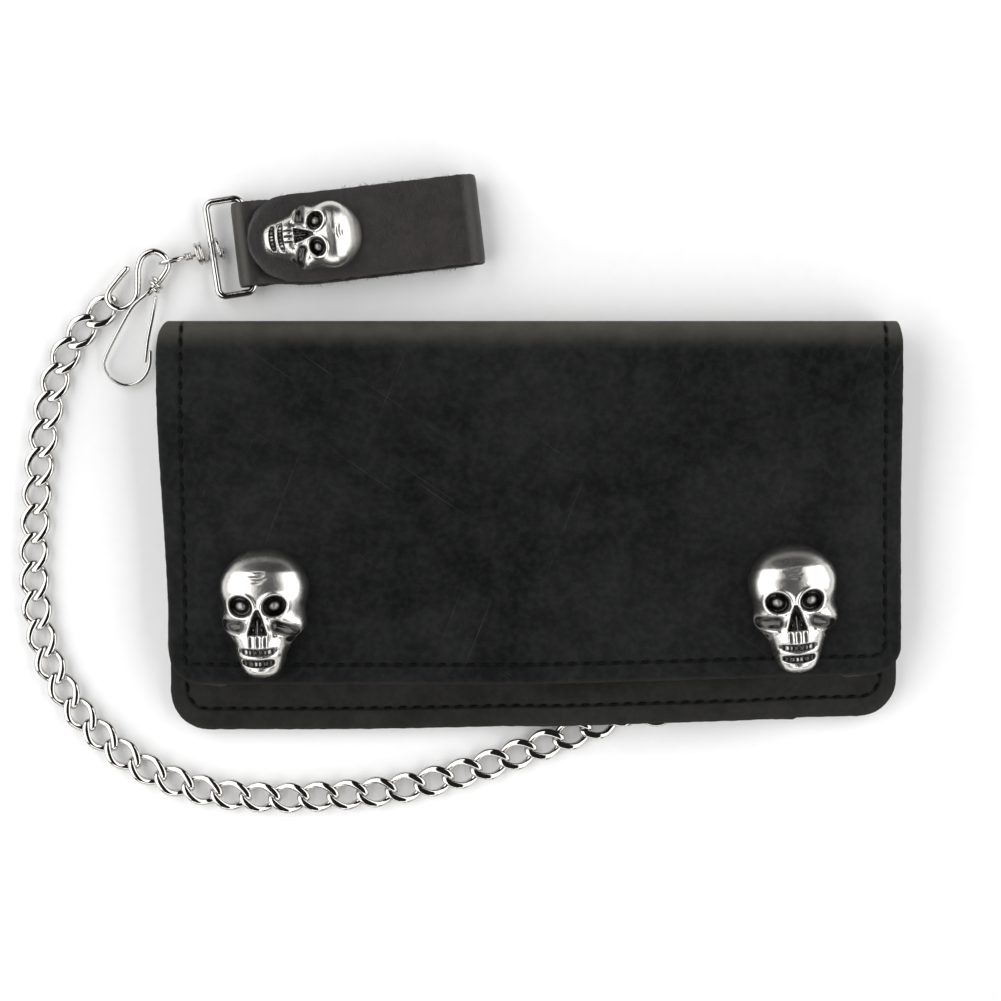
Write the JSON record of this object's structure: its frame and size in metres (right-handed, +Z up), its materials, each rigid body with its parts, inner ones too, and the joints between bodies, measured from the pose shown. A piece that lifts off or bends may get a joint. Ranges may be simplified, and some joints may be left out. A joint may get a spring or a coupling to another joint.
{
  "type": "chain wallet",
  "caption": "Long bifold leather wallet with skull snap caps, a twisted curb chain, and a leather belt loop held by a wire ring and hook",
  "frame": {"origin": "centre of the wallet's underside, on the table it lies on, without the chain and what hangs on it", "axes": "+X along the spine, +Y from the open edge towards the spine, +Z up out of the front cover"},
  "size_m": [0.2229, 0.1626, 0.0236],
  "materials": {
    "leather": "black waxed leather, matt, with fine scratches",
    "belt_leather": "black bridle leather, satin, raw edges",
    "lining": "thin black lining leather, matt",
    "pewter": "antiqued pewter plating, bright on the high spots and dark in the hollows",
    "nickel": "bright nickel plated steel wire",
    "fitting": "nickel plated steel, satin"
  },
  "bodies": {
    "wallet": {"back_cover": "leather", "back_lining": "lining", "pocket_panel": "leather", "left_snap_stud": "fitting", "right_snap_stud": "fitting", "left_snap_eyelet": "fitting", "right_snap_eyelet": "fitting", "chain_keeper": "leather", "keeper_rivet": "fitting", "d_ring": "nickel", "chain_lower": "nickel"},
    "spine": {"spine_panel": "leather"},
    "cover": {"front_cover": "leather", "cover_lining": "lining", "card_pocket_upper": "lining", "card_pocket_middle": "lining", "card_pocket_lower": "lining", "left_snap_cap": "pewter", "right_snap_cap": "pewter", "left_snap_socket": "fitting", "right_snap_socket": "fitting"},
    "chain_mid": {"chain_middle": "nickel"},
    "chain_top": {"chain_upper": "nickel"},
    "hook": {"hook": "nickel", "key_clip": "nickel"},
    "latch": {"clip_latch": "nickel"},
    "link": {"coil_link": "nickel"},
    "ring": {"strap_ring": "nickel"},
    "strap": {"belt_strap": "belt_leather", "belt_snap_stud": "fitting", "belt_snap_eyelet": "fitting"},
    "strap_bend": {"belt_bend": "belt_leather"},
    "strap_flap": {"belt_flap": "belt_leather", "belt_snap_cap": "pewter", "belt_snap_socket": "fitting"}
  },
  "joints": [
    {"name": "spine_fold", "type": "hinge", "parent": "wallet", "child": "spine", "pos_m": [0, 0.0505, 0], "axis": [-1, 0, 0], "range_deg": [0, 86]},
    {"name": "cover_fold", "type": "hinge", "parent": "spine", "child": "cover", "pos_m": [0, 0.0505, 0.0151], "axis": [-1, 0, 0], "range_deg": [0, 86]},
    {"name": "chain_bend_lower", "type": "hinge", "parent": "wallet", "child": "chain_mid", "pos_m": [-0.1122, -0.0522, 0.00185], "axis": [0, 0, 1], "range_deg": [0, 24]},
    {"name": "chain_bend_upper", "type": "hinge", "parent": "chain_mid", "child": "chain_top", "pos_m": [-0.1259, 0.003, 0.00185], "axis": [0, 0, 1], "range_deg": [0, 24]},
    {"name": "hook_swing", "type": "hinge", "parent": "chain_top", "child": "hook", "pos_m": [-0.1072, 0.0556, 0.0026], "axis": [0, 0, 1], "range_deg": [0, 15]},
    {"name": "latch_flex", "type": "hinge", "parent": "hook", "child": "latch", "pos_m": [-0.0954, 0.055, 0.00404], "axis": [0, 0, 1], "range_deg": [-12, 0], "stiffness_Nm_per_rad": 0.02},
    {"name": "link_swing", "type": "hinge", "parent": "hook", "child": "link", "pos_m": [-0.0924, 0.0661, 0.0026], "axis": [0, 0, 1], "range_deg": [0, 25]},
    {"name": "ring_swing", "type": "hinge", "parent": "link", "child": "ring", "pos_m": [-0.08085, 0.0691, 0.003], "axis": [0.153, -0.9882, 0], "range_deg": [0, 90]},
    {"name": "strap_swing", "type": "hinge", "parent": "ring", "child": "strap", "pos_m": [-0.07175, 0.0705, 0.003], "axis": [0.153, -0.9882, 0], "range_deg": [0, 60]},
    {"name": "belt_fold", "type": "hinge", "parent": "strap", "child": "strap_bend", "pos_m": [-0.01243, 0.07745, 0], "axis": [-0.1167, 0.9932, 0], "range_deg": [0, 85]},
    {"name": "flap_fold", "type": "hinge", "parent": "strap_bend", "child": "strap_flap", "pos_m": [-0.01243, 0.07745, 0.0093], "axis": [-0.1167, 0.9932, 0], "range_deg": [0, 85]}
  ],
  "couplings": [
    {"joint": "cover_fold", "follows": "spine_fold", "ratio": 1},
    {"joint": "chain_bend_lower", "follows": "spine_fold", "ratio": 0.279},
    {"joint": "chain_bend_upper", "follows": "spine_fold", "ratio": 0.279},
    {"joint": "flap_fold", "follows": "belt_fold", "ratio": 1}
  ]
}
